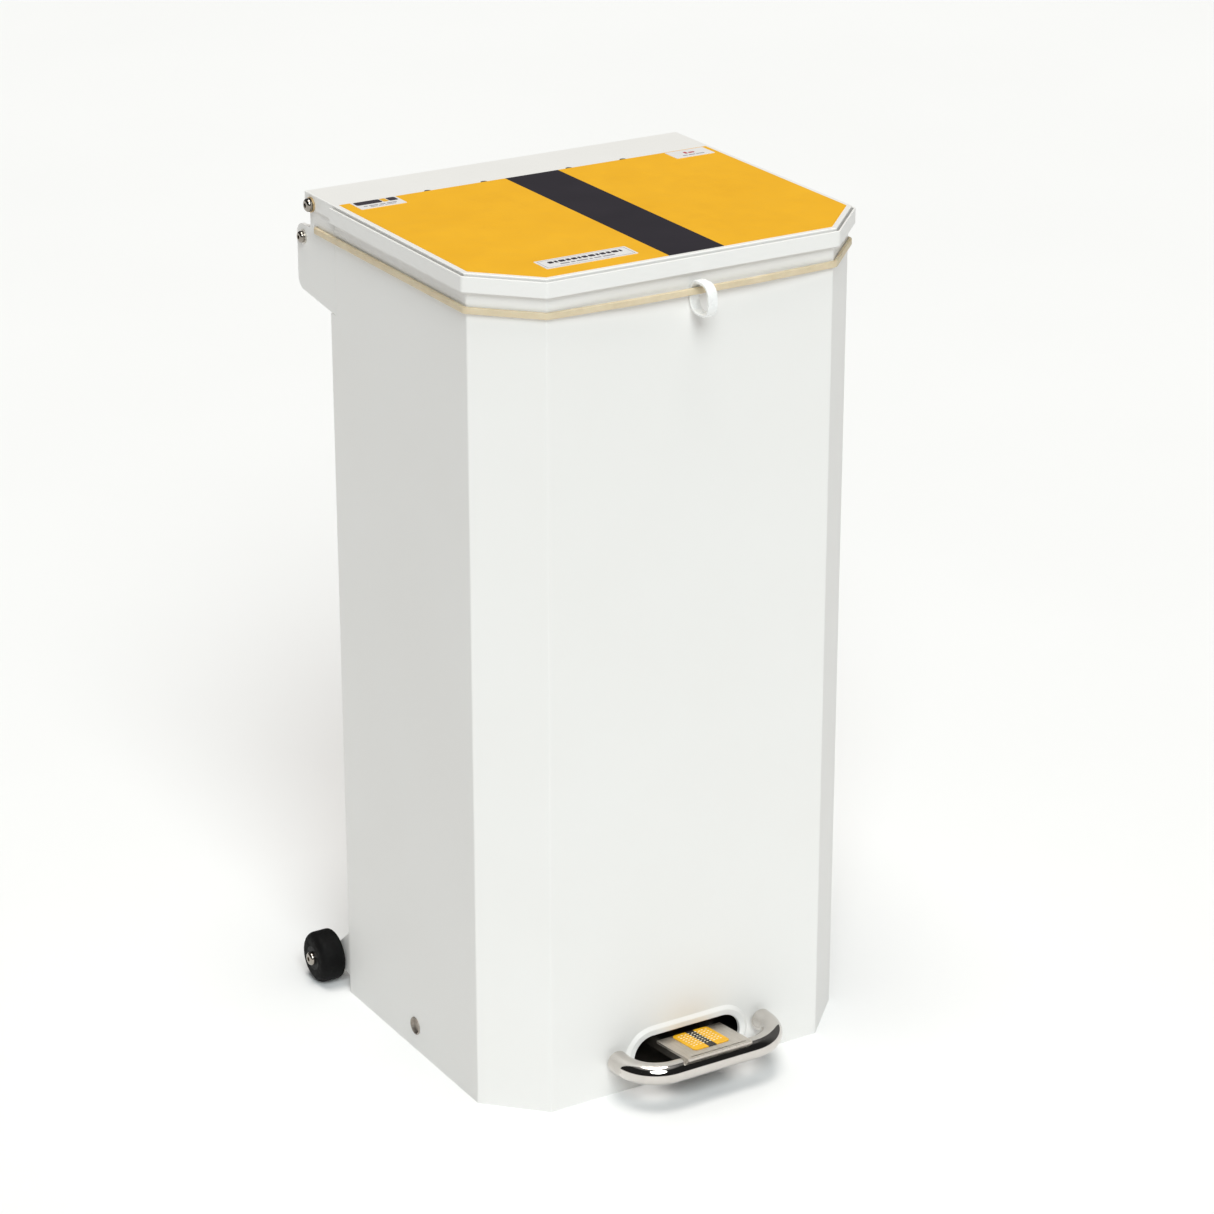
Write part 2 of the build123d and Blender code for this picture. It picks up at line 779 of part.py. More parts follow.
rod_radius = 4.0
clevis_inner, clevis_cheek = 4.6, 4.0
clevis_radius = 9.0
clevis_top = tail_z + 24
head_low, head_high = 764.0, 788.3
lift_swing = lift_radius * (1 - cos(start))  # how far the lift pin moves fore and aft
pin_slack = 0.4

with BuildPart() as rod_clevis:
    with BuildSketch(side_plane(0)):
        with Locations((tail_y, (tail_z + clevis_top) / 2)):
            Rectangle(2 * clevis_radius, clevis_top - tail_z)
        with Locations((tail_y, tail_z)):
            Circle(clevis_radius)
    extrude(amount=clevis_inner + clevis_cheek, both=True)
    with BuildSketch(side_plane(0)):
        with Locations((tail_y, tail_z - clevis_radius)):
            Rectangle(
                4 * clevis_radius,
                clevis_radius + 15,
                align=(Align.CENTER, Align.MIN),
            )
    extrude(amount=clevis_inner, both=True, mode=Mode.SUBTRACT)
    with BuildSketch(side_plane(0)):
        with Locations((tail_y, tail_z)):
            Circle(pin_radius)
    extrude(amount=20, both=True, mode=Mode.SUBTRACT)
finish(rod_clevis, "rod_clevis")

with BuildPart() as clevis_pin:
    with Locations(Plane(origin=(0, tail_y, tail_z), z_dir=(1, 0, 0))):
        add(headed_pin(pin_radius, clevis_inner + clevis_cheek, 4.5, 1.5))
finish(clevis_pin, "clevis_pin")

with BuildPart() as push_rod:
    with BuildSketch(Plane.XY.offset(clevis_top)):
        with Locations((0, rod_y)):
            Circle(rod_radius)
    extrude(amount=head_low - clevis_top)
finish(push_rod, "push_rod")

with BuildPart() as rod_head:
    with BuildSketch(side_plane(-lug_inner + 1.2)):
        with Locations((rod_y - 1, (head_low + head_high) / 2)):
            RectangleRounded(17, head_high - head_low, 3)
        with Locations((lift_y - lift_swing / 2, lift_z)):
            SlotOverall(
                lift_swing + 2 * (pin_radius + pin_slack),
                2 * (pin_radius + pin_slack),
                mode=Mode.SUBTRACT,
            )
    extrude(amount=2 * (lug_inner - 1.2))
finish(rod_head, "rod_head")

# ---- spine cover: the channel behind the back panel that hides the rod, with its guides and screws ----

panel_back = back_y + sheet
spine_back = behind(336.0)
spine_top = 745.0
guide_z = (250.0, 610.0)

with BuildPart() as spine_cover:
    with BuildSketch(Plane.XY.offset(sheet)):
        with Locations((0, panel_back)):
            Rectangle(
                2 * spine_half,
                spine_back - panel_back,
                align=(Align.CENTER, Align.MIN),
            )
            Rectangle(
                2 * (spine_half - sheet),
                spine_back - panel_back - sheet,
                align=(Align.CENTER, Align.MIN),
                mode=Mode.SUBTRACT,
            )
        for side in sides.values():
            with Locations((side * (spine_half - sheet / 2 + spine_foot / 2), panel_back)):
                Rectangle(spine_foot + sheet, sheet, align=(Align.CENTER, Align.MIN))
    extrude(amount=spine_top - sheet)
    outer_corners = spine_cover.edges().filter_by(Axis.Z).group_by(Axis.Y)[-1]
    fillet(outer_corners, 1.4)
    with BuildSketch(Plane.XY.offset(spine_top)):
        with Locations((0, spine_back)):
            Rectangle(
                2 * (spine_half - sheet),
                4,
                align=(Align.CENTER, Align.MAX),
            )
    extrude(amount=-sheet)
    with BuildSketch(Plane.XZ.offset(-panel_back)):
        with Locations(*spine_screw_places):
            Circle(spine_screw_radius)
    extrude(amount=-2 * sheet, mode=Mode.SUBTRACT)
finish(spine_cover, "spine_cover")

with BuildPart() as spine_screws:
    spine_screw = button_screw(spine_screw_radius, 2 * sheet, 3.6, 2.2)
    for x, z in spine_screw_places:
        with Locations(Plane(origin=(x, panel_back + sheet, z), z_dir=(0, 1, 0))):
            add(spine_screw)
finish(spine_screws, "spine_screws")

with BuildPart() as rod_guides:
    for z in guide_z:
        with BuildSketch(Plane.XY.offset(z)):
            with Locations((0, panel_back)):
                Rectangle(26, 26, align=(Align.CENTER, Align.MIN))
            with Locations((0, rod_y)):
                Circle(rod_radius + running_gap, mode=Mode.SUBTRACT)
        extrude(amount=14)
finish(rod_guides, "rod_guides")

# ---- wheels: brackets on the rear corners, and on each a hub and tyre turning on a screw ----

bracket_outer_x = 191.0
bracket_sheet = 2.5
wheel_inner_x, wheel_outer_x = 193.3, 218.0
wheel_screw_radius = 4.0
hub_outer_radius = 12.0

for side_name, side in sides.items():
    plate_x = side * (bracket_outer_x - bracket_sheet)
    with BuildPart() as wheel_bracket:
        with BuildSketch(side_plane(plate_x)):
            Polygon(
                (rear_y, 12),
                (wheel_y - 4, wheel_z - 12),
                (wheel_y, wheel_z - 12),
                (wheel_y, wheel_z + 12),
                (wheel_y - 6, wheel_z + 14),
                (rear_y + 6, 62),
                (rear_y, 62),
                align=None,
            )
            with Locations((wheel_y, wheel_z)):
                Circle(12)
        extrude(amount=side * bracket_sheet)
        with BuildSketch(Plane.XZ.offset(-rear_y)):
            with Locations((side * (bracket_outer_x - 13), 37)):
                Rectangle(26, 50)
        extrude(amount=-bracket_sheet)
        with BuildSketch(side_plane(plate_x)):
            with Locations((wheel_y, wheel_z)):
                Circle(wheel_screw_radius)
        extrude(amount=side * bracket_sheet, mode=Mode.SUBTRACT)
    finish(wheel_bracket, f"{side_name}_wheel_bracket")

    with BuildPart() as wheel_hub:
        with BuildSketch(side_plane(side * wheel_inner_x)):
            with Locations((wheel_y, wheel_z)):
                Circle(hub_outer_radius)
                Circle(wheel_screw_radius + running_gap, mode=Mode.SUBTRACT)
        extrude(amount=side * (wheel_outer_x - wheel_inner_x))
    finish(wheel_hub, f"{side_name}_wheel_hub")

    with BuildPart() as wheel_tyre:
        with BuildSketch(side_plane(side * wheel_inner_x)):
            with Locations((wheel_y, wheel_z)):
                Circle(wheel_radius)
        extrude(amount=side * (wheel_outer_x - wheel_inner_x))
        round_edges = wheel_tyre.edges().filter_by(GeomType.CIRCLE)
        fillet(round_edges.sort_by(Axis.X)[0 if side < 0 else -1], 8)
        round_edges = wheel_tyre.edges().filter_by(GeomType.CIRCLE)
        fillet(round_edges.sort_by(Axis.X)[-1 if side < 0 else 0], 4)
        with BuildSketch(side_plane(side * wheel_inner_x)):
            with Locations((wheel_y, wheel_z)):
                Circle(hub_outer_radius)
        extrude(amount=side * (wheel_outer_x - wheel_inner_x), mode=Mode.SUBTRACT)
    finish(wheel_tyre, f"{side_name}_wheel_tyre")

with BuildPart() as wheel_spacers:
    spacer = ring(8, wheel_screw_radius, wheel_inner_x - free_gap - bracket_outer_x)
    for side in sides.values():
        with Locations(outward_plane(side, bracket_outer_x, wheel_y, wheel_z)):
            add(spacer)
finish(wheel_spacers, "wheel_spacers")

with BuildPart() as wheel_screws:
    head_x = wheel_outer_x + free_gap
    screw = button_screw(wheel_screw_radius, head_x - 181, 6.8, 4.2)
    for side in sides.values():
        with Locations(outward_plane(side, head_x, wheel_y, wheel_z)):
            add(screw)
finish(wheel_screws, "wheel_screws")

with BuildPart() as wheel_nuts:
    nut = hex_nut(wheel_screw_radius, 13, 6.5)
    for side in sides.values():
        with Locations(
            outward_plane(side, bracket_outer_x - bracket_sheet - 6.5, wheel_y, wheel_z)
        ):
            add(nut)
finish(wheel_nuts, "wheel_nuts")

# ---- bag band: an elastic strap round the body that passes in through the ears and ends in knots ----

band_gap = 0.2  # between the band and the body
pull_strip = 2.5
pull_width = 9.5
pull_depth, pull_height = 32.0, 31.0
pull_corner = 12.5
pull_z = 763.0
pull_run = 60.0  # half the stretch where the band stands off for the pull
stand_off = 4.0  # between the panel and the band there
band_end_x = half_width - ear_thickness - 8
slot_y = behind(band_slot[0] + 0.25 + band_thickness / 2)

with BuildPart() as bag_band:
    grow = band_gap + band_thickness / 2
    run_y = front_y - stand_off - band_thickness / 2
    left_points = plan_points(grow, slot_y)[:3]
    right_points = plan_points(grow, slot_y)[3:]
    route = [(-band_end_x, slot_y), *left_points, (-pull_run, run_y)]
    route += [(pull_run, run_y), *right_points, (band_end_x, slot_y)]
    with BuildLine(Plane.XY.offset(band_z)) as band_line:
        FilletPolyline(*route, radius=[2.2, 6, 6, 60, 60, 6, 6, 2.2])
    with BuildSketch(band_line.line ^ 0):
        RectangleRounded(band_height, band_thickness, 1)
    sweep()
finish(bag_band, "bag_band")

with BuildPart() as band_knots:
    with Locations(*[(side * (band_end_x - 5), slot_y, band_z) for side in sides.values()]):
        Sphere(5)
finish(band_knots, "band_knots")

# ---- band pull: a plastic loop threaded on the band, to stretch it by hand ----

with BuildPart() as band_pull:
    with BuildSketch(side_plane(-pull_width / 2)):
        with Locations((front_y - free_gap - pull_depth / 2, pull_z)):
            RectangleRounded(pull_depth, pull_height, pull_corner)
            RectangleRounded(
                pull_depth - 2 * pull_strip,
                pull_height - 2 * pull_strip,
                pull_corner - pull_strip,
                mode=Mode.SUBTRACT,
            )
    extrude(amount=pull_width)
    side_faces = band_pull.faces().sort_by(Axis.X)
    fillet(side_faces[0].edges() + side_faces[-1].edges(), 0.7)
finish(band_pull, "band_pull_ring")

print("lid", lid_travel, "pedal", round(pedal_travel, 3), "rod", round(rod_travel, 3))
print("hinge", hinge_y, hinge_z, "axle", axle_y, axle_z, "wheel", wheel_y, wheel_z)
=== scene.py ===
import json
from math import cos, pi, radians, sin

import bmesh
import bpy
from mathutils import Matrix, Vector


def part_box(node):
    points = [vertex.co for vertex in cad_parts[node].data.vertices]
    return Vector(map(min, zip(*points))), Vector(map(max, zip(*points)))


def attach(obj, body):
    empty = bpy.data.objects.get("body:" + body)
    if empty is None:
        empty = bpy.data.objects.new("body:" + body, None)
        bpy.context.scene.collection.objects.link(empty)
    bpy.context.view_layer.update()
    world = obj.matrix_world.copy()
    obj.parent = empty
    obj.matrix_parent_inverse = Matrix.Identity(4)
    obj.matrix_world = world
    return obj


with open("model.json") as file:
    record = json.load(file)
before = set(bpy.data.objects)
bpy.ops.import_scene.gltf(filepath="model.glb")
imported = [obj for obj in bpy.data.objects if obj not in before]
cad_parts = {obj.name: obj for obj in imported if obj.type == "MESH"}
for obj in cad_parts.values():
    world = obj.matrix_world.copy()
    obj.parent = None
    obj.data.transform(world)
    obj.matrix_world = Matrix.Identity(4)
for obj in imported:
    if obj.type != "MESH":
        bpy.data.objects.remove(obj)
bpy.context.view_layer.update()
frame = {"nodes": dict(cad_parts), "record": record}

# Looks for the ward pedal bin: materials for every CAD node, printed marks on the lid's stickers, the
# embossed studs on the pedal's tread, the tyres' moulding lines, and a plain studio. Lengths are in metres
# unless a comment says otherwise.

scene = bpy.context.scene
nodes = frame["nodes"]
mm = 0.001

# ---- camera: the place and the angles that a person standing at the bin's front left would have ----

camera_place = Vector((-1.6644, -2.7683, 1.7330))
camera_heading = radians(31.11)
camera_tilt = radians(22.16)
camera_lens = 111.3  # millimetres
camera_sensor = 36  # width in millimetres
camera_reach = 200

camera = bpy.data.objects.new("camera", bpy.data.cameras.new("camera"))
scene.collection.objects.link(camera)
camera.location = camera_place
camera.rotation_euler = (pi / 2 - camera_tilt, 0, -camera_heading)
camera.data.lens = camera_lens
camera.data.sensor_width = camera_sensor
camera.data.clip_end = camera_reach
scene.camera = camera


# ---- materials ----

usual_noise = (0.3, 0.7)  # most of a noise texture's values lie between these


def fill_ramp(node, stops):
    """Give a colour ramp its stops, each (position, colour)."""
    elements = node.color_ramp.elements
    while len(elements) < len(stops):
        elements.new(0.5)
    for element, (position, color) in zip(elements, stops):
        element.position = position
        element.color = (*color, 1)


def fill_range(node, source, target):
    """Set a map range node to turn the span source into the span target."""
    for name, value in zip(("From Min", "From Max", "To Min", "To Max"), (*source, *target)):
        node.inputs[name].default_value = value


class Surface:
    """
    A material under construction: its principled shader, and the procedural detail that feeds it. The plain
    colour and roughness given here show only where colors() and roughness() don't replace them with noise.
    """

    def __init__(self, name, color, roughness, **sockets):
        self.material = bpy.data.materials.new(name)
        self.material.use_nodes = True
        self.tree = self.material.node_tree
        self.shader = self.tree.nodes["Principled BSDF"]
        self.shader.inputs["Base Color"].default_value = (*color, 1)
        self.shader.inputs["Roughness"].default_value = roughness
        for socket, value in sockets.items():
            self.shader.inputs[socket.replace("_", " ")].default_value = value
        self.place = self.add("ShaderNodeTexCoord").outputs["Object"]

    def add(self, kind, **inputs):
        node = self.tree.nodes.new(kind)
        for name, value in inputs.items():
            node.inputs[name].default_value = value
        return node

    def link(self, output, node_input):
        self.tree.links.new(output, node_input)

    def stretched(self, stretch):
        mapping = self.add("ShaderNodeMapping")
        mapping.inputs["Scale"].default_value = stretch
        self.link(self.place, mapping.inputs["Vector"])
        return mapping.outputs["Vector"]

    def noise(self, size, detail=3.0, roughness=0.5, stretch=(1, 1, 1)):
        """Noise whose features are about size metres across, drawn out where stretch is small."""
        texture = self.add("ShaderNodeTexNoise", Scale=1 / size, Detail=detail, Roughness=roughness)
        self.link(self.stretched(stretch), texture.inputs["Vector"])
        return texture.outputs["Fac"]

    def colors(self, factor, *stops):
        """Colour the surface by factor: stops are (position, colour)."""
        ramp = self.add("ShaderNodeValToRGB")
        fill_ramp(ramp, stops)
        self.link(factor, ramp.inputs["Fac"])
        self.link(ramp.outputs["Color"], self.shader.inputs["Base Color"])

    def roughness(self, factor, low, high):
        """Let the roughness run from low to high as factor crosses the middle of its span."""
        node = self.add("ShaderNodeMapRange")
        fill_range(node, usual_noise, (low, high))
        self.link(factor, node.inputs["Value"])
        self.link(node.outputs["Result"], self.shader.inputs["Roughness"])

    def bump(self, height, depth, under=None):
        """Raise the surface by up to depth metres times height, on top of an earlier bump."""
        node = self.add("ShaderNodeBump", Strength=1.0, Distance=depth)
        self.link(height, node.inputs["Height"])
        if under:
            self.link(under, node.inputs["Normal"])
        self.link(node.outputs["Normal"], self.shader.inputs["Normal"])
        return node.outputs["Normal"]


def powder_coat():
    """White gloss powder coat: a fine orange peel, and a very slight mottle in tone and gloss."""
    surface = Surface("powder_coat", (0.87, 0.865, 0.84), 0.3, Specular_IOR_Level=0.2)
    tone = surface.noise(0.16, detail=2)
    surface.colors(tone, (0.3, (0.865, 0.85, 0.825)), (0.7, (0.875, 0.862, 0.84)))
    surface.roughness(surface.noise(0.05, detail=2), 0.30, 0.34)
    swell = surface.bump(surface.noise(0.05, detail=0), 0.00003)
    surface.bump(surface.noise(0.0018, detail=2), 0.00002, under=swell)
    return surface.material


def chrome(name, dull, bright):
    """Polished chrome with a trace of wiping haze and a few hairline scratches."""
    surface = Surface(name, bright, 0.06, Metallic=1.0)
    haze = surface.noise(0.012, detail=5, roughness=0.6)
    surface.roughness(haze, 0.035, 0.11)
    surface.colors(haze, (0.25, dull), (0.75, bright))
    surface.bump(surface.noise(0.0009, detail=2, stretch=(0.15, 1, 1)), 0.000004)
    return surface.material


def brushed_steel():
    """Stainless plate brushed along the bin's depth, warm in tone, with cloudy wear."""
    surface = Surface("brushed_steel", (0.62, 0.57, 0.51), 0.36, Metallic=1.0, Anisotropic=0.4)
    grain = surface.noise(0.0007, detail=4, stretch=(1, 0.03, 0.2))
    surface.colors(grain, (0.25, (0.56, 0.515, 0.46)), (0.75, (0.72, 0.675, 0.615)))
    surface.roughness(surface.noise(0.011, detail=4), 0.30, 0.46)
    surface.bump(grain, 0.00002)
    return surface.material


def bright_steel():
    """Turned bright steel, with rings too fine to see singly."""
    surface = Surface("bright_steel", (0.66, 0.63, 0.58), 0.25, Metallic=1.0)
    surface.colors(surface.noise(0.004, detail=4), (0.3, (0.58, 0.55, 0.50)), (0.7, (0.72, 0.69, 0.645)))
    surface.roughness(surface.noise(0.002, detail=3), 0.18, 0.36)
    surface.bump(surface.noise(0.0006, detail=2, stretch=(0.1, 1, 1)), 0.00001)
    return surface.material


def axle_steel():
    """Plain turned steel gone grey-brown, with a little grime in its hollows."""
    surface = Surface("axle_steel", (0.34, 0.30, 0.26), 0.42, Metallic=0.9)
    surface.colors(surface.noise(0.004, detail=5), (0.3, (0.27, 0.235, 0.20)), (0.7, (0.42, 0.375, 0.33)))
    surface.roughness(surface.noise(0.002, detail=3), 0.32, 0.54)
    surface.bump(surface.noise(0.0008, detail=2), 0.000015)
    return surface.material


def black_paint():
    """Satin black paint, with dust and scuffs. Its warm near-black is painted shade: it stands in for the
    dark, unlit inside of the bin.
    """
    surface = Surface("black_paint", (0.02, 0.02, 0.02), 0.5)
    dust = surface.noise(0.03, detail=6, roughness=0.7)
    surface.colors(dust, (0.35, (0.022, 0.018, 0.014)), (0.8, (0.055, 0.046, 0.037)))
    surface.roughness(surface.noise(0.01, detail=4), 0.42, 0.62)
    surface.bump(surface.noise(0.002, detail=2), 0.00003)
    return surface.material


def zinc_steel():
    """Zinc plating: a cool grey with a faint bluish and yellowish bloom."""
    surface = Surface("zinc_steel", (0.50, 0.51, 0.52), 0.38, Metallic=1.0)
    bloom = surface.noise(0.014, detail=5, roughness=0.65)
    surface.colors(
        bloom,
        (0.25, (0.44, 0.46, 0.49)),
        (0.5, (0.53, 0.54, 0.54)),
        (0.75, (0.60, 0.585, 0.53)),
    )
    surface.roughness(surface.noise(0.003, detail=4), 0.30, 0.52)
    surface.bump(surface.noise(0.0007, detail=3), 0.000012)
    return surface.material


def brass():
    """A plain turned bush in a tan bronze, dulled by handling."""
    surface = Surface("brass", (0.56, 0.40, 0.20), 0.38, Metallic=0.85)
    surface.colors(surface.noise(0.003, detail=4), (0.3, (0.46, 0.33, 0.17)), (0.7, (0.66, 0.49, 0.27)))
    surface.roughness(surface.noise(0.0015, detail=3), 0.28, 0.5)
    surface.bump(surface.noise(0.0005, detail=2), 0.00001)
    return surface.material


def dark_rivet():
    """Near-black rivet heads, rubbed brighter in patches: the near-black is painted shade, standing in for
    the shadow in the rivet holes.
    """
    surface = Surface("dark_rivet", (0.09, 0.09, 0.095), 0.42, Metallic=0.6)
    surface.colors(surface.noise(0.0016, detail=4), (0.35, (0.05, 0.05, 0.055)), (0.7, (0.2, 0.195, 0.19)))
    surface.bump(surface.noise(0.0007, detail=2), 0.00002)
    return surface.material


def rubber(name, tone, grain, dust):
    """Black moulded rubber: a fine grain, and a little dust in its hollows."""
    surface = Surface(name, (tone, tone, tone * 1.05), 0.6, Specular_IOR_Level=0.12)
    dusted = tuple(tone + dust * share for share in (1.0, 0.96, 0.9))
    surface.colors(surface.noise(0.008, detail=6, roughness=0.7), (0.35, (tone,) * 3), (0.8, dusted))
    surface.roughness(surface.noise(0.004, detail=3), 0.55, 0.8)
    surface.bump(surface.noise(grain, detail=3), 0.00006)
    return surface.material


def hub_plastic():
    """The wheel's black hub: smoother than its tyre."""
    surface = Surface("hub_plastic", (0.004, 0.004, 0.0045), 0.42, Specular_IOR_Level=0.12)
    surface.roughness(surface.noise(0.003, detail=3), 0.32, 0.55)
    surface.bump(surface.noise(0.0012, detail=2), 0.00003)
    return surface.material


def band_rubber():
    """Tan elastic: matt latex with fine lines along its length, a little translucent."""
    surface = Surface("band_rubber", (0.70, 0.585, 0.40), 0.6, Subsurface_Weight=0.15)
    surface.shader.inputs["Subsurface Radius"].default_value = (0.004, 0.0025, 0.0015)
    tone = surface.noise(0.02, detail=4, roughness=0.6)
    surface.colors(tone, (0.3, (0.66, 0.545, 0.365)), (0.7, (0.76, 0.645, 0.455)))
    surface.bump(surface.noise(0.0011, detail=2, stretch=(0.04, 0.04, 1)), 0.00012)
    return surface.material


def pull_plastic():
    """The moulded pull: clean white plastic."""
    surface = Surface("pull_plastic", (0.90, 0.90, 0.885), 0.28, Subsurface_Weight=0.1)
    surface.shader.inputs["Subsurface Radius"].default_value = (0.003, 0.003, 0.003)
    surface.colors(surface.noise(0.01, detail=3), (0.3, (0.88, 0.88, 0.865)), (0.7, (0.93, 0.93, 0.92)))
    surface.roughness(surface.noise(0.004, detail=3), 0.22, 0.36)
    surface.bump(surface.noise(0.002, detail=2), 0.00002)
    return surface.material


def nylon():
    """Off-white turned nylon."""
    surface = Surface("nylon", (0.80, 0.785, 0.73), 0.48, Subsurface_Weight=0.08)
    surface.shader.inputs["Subsurface Radius"].default_value = (0.003, 0.003, 0.002)
    surface.colors(surface.noise(0.008, detail=3), (0.3, (0.77, 0.75, 0.69)), (0.7, (0.83, 0.815, 0.765)))
    surface.bump(surface.noise(0.0008, detail=2, stretch=(1, 1, 0.2)), 0.00002)
    return surface.material


def printed_film(name, dark, light, roughness):
    """Printed adhesive film: a very slight unevenness in the ink, and a fine satin texture."""
    surface = Surface(name, light, roughness, Specular_IOR_Level=0.35)
    surface.colors(surface.noise(0.06, detail=5, roughness=0.6), (0.3, dark), (0.7, light))
    surface.roughness(surface.noise(0.015, detail=4), roughness - 0.03, roughness + 0.04)
    ripple = surface.bump(surface.noise(0.05, detail=1), 0.00003)
    surface.bump(surface.noise(0.0009, detail=2), 0.000012, under=ripple)
    return surface.material


def tread_film(name, dark, light):
    """The pedal's tread film: scuffed where shoes press it."""
    surface = Surface(name, light, 0.5, Specular_IOR_Level=0.3)
    surface.colors(surface.noise(0.006, detail=6, roughness=0.7), (0.3, dark), (0.62, light))
    surface.roughness(surface.noise(0.004, detail=4), 0.38, 0.62)
    surface.bump(surface.noise(0.0009, detail=3), 0.00005)
    return surface.material


materials = {
    "powder_coat": powder_coat(),
    "chrome": chrome("chrome", (0.63, 0.595, 0.56), (0.70, 0.665, 0.63)),
    # dark_chrome is the same chrome with a darker base colour, for the screw heads: the darkness is painted
    # shade, standing in for the dark room that the screws mirror
    "dark_chrome": chrome("dark_chrome", (0.30, 0.27, 0.235), (0.40, 0.365, 0.325)),
    "axle_steel": axle_steel(),
    "black_paint": black_paint(),
    "brushed_steel": brushed_steel(),
    "bright_steel": bright_steel(),
    "zinc_steel": zinc_steel(),
    "brass": brass(),
    "dark_rivet": dark_rivet(),
    "black_rubber": rubber("black_rubber", 0.02, 0.001, 0.02),
    "tyre_rubber": rubber("tyre_rubber", 0.003, 0.0012, 0.003),
    "hub_plastic": hub_plastic(),
    "band_rubber": band_rubber(),
    "pull_plastic": pull_plastic(),
    "nylon": nylon(),
    "label_yellow": printed_film("label_yellow", (0.885, 0.455, 0.016), (0.93, 0.49, 0.02), 0.42),
    "label_black": printed_film("label_black", (0.019, 0.016, 0.022), (0.024, 0.02, 0.027), 0.44),
    "sticker": printed_film("sticker", (0.82, 0.80, 0.79), (0.86, 0.85, 0.845), 0.35),
    "pad_yellow": tread_film("pad_yellow", (0.76, 0.40, 0.01), (0.88, 0.47, 0.015)),
    "pad_black": tread_film("pad_black", (0.015, 0.013, 0.013), (0.04, 0.035, 0.035)),
}
inks = {
    "ink_dark": printed_film("ink_dark", (0.035, 0.03, 0.04), (0.06, 0.05, 0.065), 0.4),
    "ink_grey": printed_film("ink_grey", (0.26, 0.25, 0.27), (0.34, 0.32, 0.34), 0.4),
    "ink_red": printed_film("ink_red", (0.50, 0.07, 0.09), (0.60, 0.11, 0.13), 0.4),
    "ink_yellow": printed_film("ink_yellow", (0.80, 0.43, 0.04), (0.88, 0.50, 0.05), 0.4),
    # the studs' pale cream is partly wear on their tops and partly painted highlight, standing in for the
    # glints on the raised studs
    "stud_wear_and_highlight": tread_film("stud_wear_and_highlight", (0.80, 0.68, 0.42), (0.95, 0.88, 0.72)),
}

for part in frame["record"]["subparts"]:
    node = nodes[part["node"]]
    node.data.materials.clear()
    node.data.materials.append(materials[part["material_slot"]])


# ---- extra pieces ----


def new_piece(name, mesh, material, body):
    """Turn a bmesh into an object that rides on a CAD body."""
    data = bpy.data.meshes.new(name)
    mesh.to_mesh(data)
    mesh.free()
    data.materials.append(material)
    piece = bpy.data.objects.new(name, data)
    scene.collection.objects.link(piece)
    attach(piece, body)
    return piece


def add_prism(mesh, outline, bottom, height):
    """Add an upright prism over an outline of (x, y) points, listed anticlockwise."""
    low = [mesh.verts.new((x, y, bottom)) for x, y in outline]
    high = [mesh.verts.new((x, y, bottom + height)) for x, y in outline]
    mesh.faces.new(reversed(low))
    mesh.faces.new(high)
    for index, vertex in enumerate(low):
        after = (index + 1) % len(low)
        mesh.faces.new((vertex, low[after], high[after], high[index]))


def rounded_bar(x, y, width, height, corner):
    """Outline of a bar centred on (x, y), with rounded corners."""
    steps = 4
    outline = []
    for turn in range(4):
        side_x = 1 if turn in (0, 3) else -1
        side_y = 1 if turn in (0, 1) else -1
        for step in range(steps + 1):
            angle = (turn + step / steps) * pi / 2
            outline.append((
                x + side_x * (width / 2 - corner) + corner * cos(angle),
                y + side_y * (height / 2 - corner) + corner * sin(angle),
            ))
    return outline


ink_height = 0.06 * mm
bar_corner = 0.2  # a printed bar's corner radius, as a share of its smaller side


def print_marks(sticker, ink, number, bars):
    """Print bars on a sticker: each is (x, y, width, height) in millimetres from the sticker's middle."""
    low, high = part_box(sticker)
    middle = (low + high) / 2
    mesh = bmesh.new()
    for x, y, width, height in bars:
        outline = rounded_bar(
            middle.x + x * mm,
            middle.y + y * mm,
            width * mm,
            height * mm,
            min(width, height) * bar_corner * mm,
        )
        add_prism(mesh, outline, high.z, ink_height)
    new_piece(f"{sticker}_marks_{number}", mesh, inks[ink], "lid")


def frame_bars(width, height, line):
    """Four bars that make a rectangular frame line."""
    sides = [(0, side * height / 2, width + line, line) for side in (-1, 1)]
    return sides + [(side * width / 2, 0, line, height - line) for side in (-1, 1)]


def word_bars(start, y, height, gap, widths):
    """A row of bars of the given widths, from start to the right."""
    bars = []
    for width in widths:
        bars.append((start + width / 2, y, width, height))
        start += width + gap
    return bars


# the front notice: a fine frame round a bold row and a thin row of plain bars
print_marks("front_notice_sticker", "ink_grey", 1, frame_bars(86, 19.5, 0.5))
bold_row = word_bars(-36, 2.8, 5.4, 1.3, (5, 3, 6, 4, 5, 3, 5, 6, 3, 5, 4, 6, 2.4))
print_marks("front_notice_sticker", "ink_dark", 2, bold_row)
thin_row = word_bars(-28, -4.6, 2.4, 1.6, (9, 4, 11, 3, 7, 12))
print_marks("front_notice_sticker", "ink_grey", 3, thin_row)

# the rear left sticker: a dark heading with a yellow block in it, over two thin rows
print_marks("rear_left_sticker", "ink_dark", 1, [(-8, 5.5, 26, 10), (16.5, 5.5, 9, 10)])
print_marks("rear_left_sticker", "ink_yellow", 2, [(8.5, 5.5, 5.6, 10)])
print_marks("rear_left_sticker", "ink_grey", 3, word_bars(-17, -4.4, 2, 1.4, (4, 9, 6, 10)))
print_marks("rear_left_sticker", "ink_grey", 4, word_bars(-12, -8, 1.4, 1.4, (7, 5, 11)))

# the rear right sticker: two red blocks over a thin row
print_marks("rear_right_sticker", "ink_red", 1, [(-3.6, 2.2, 3, 6), (2.4, 1.2, 6.4, 3.4)])
print_marks("rear_right_sticker", "ink_grey", 2, word_bars(-11, -5.8, 1.8, 1.2, (5, 7, 9)))


plate_rise = radians(7)  # the pedal's plate climbs this much towards the front


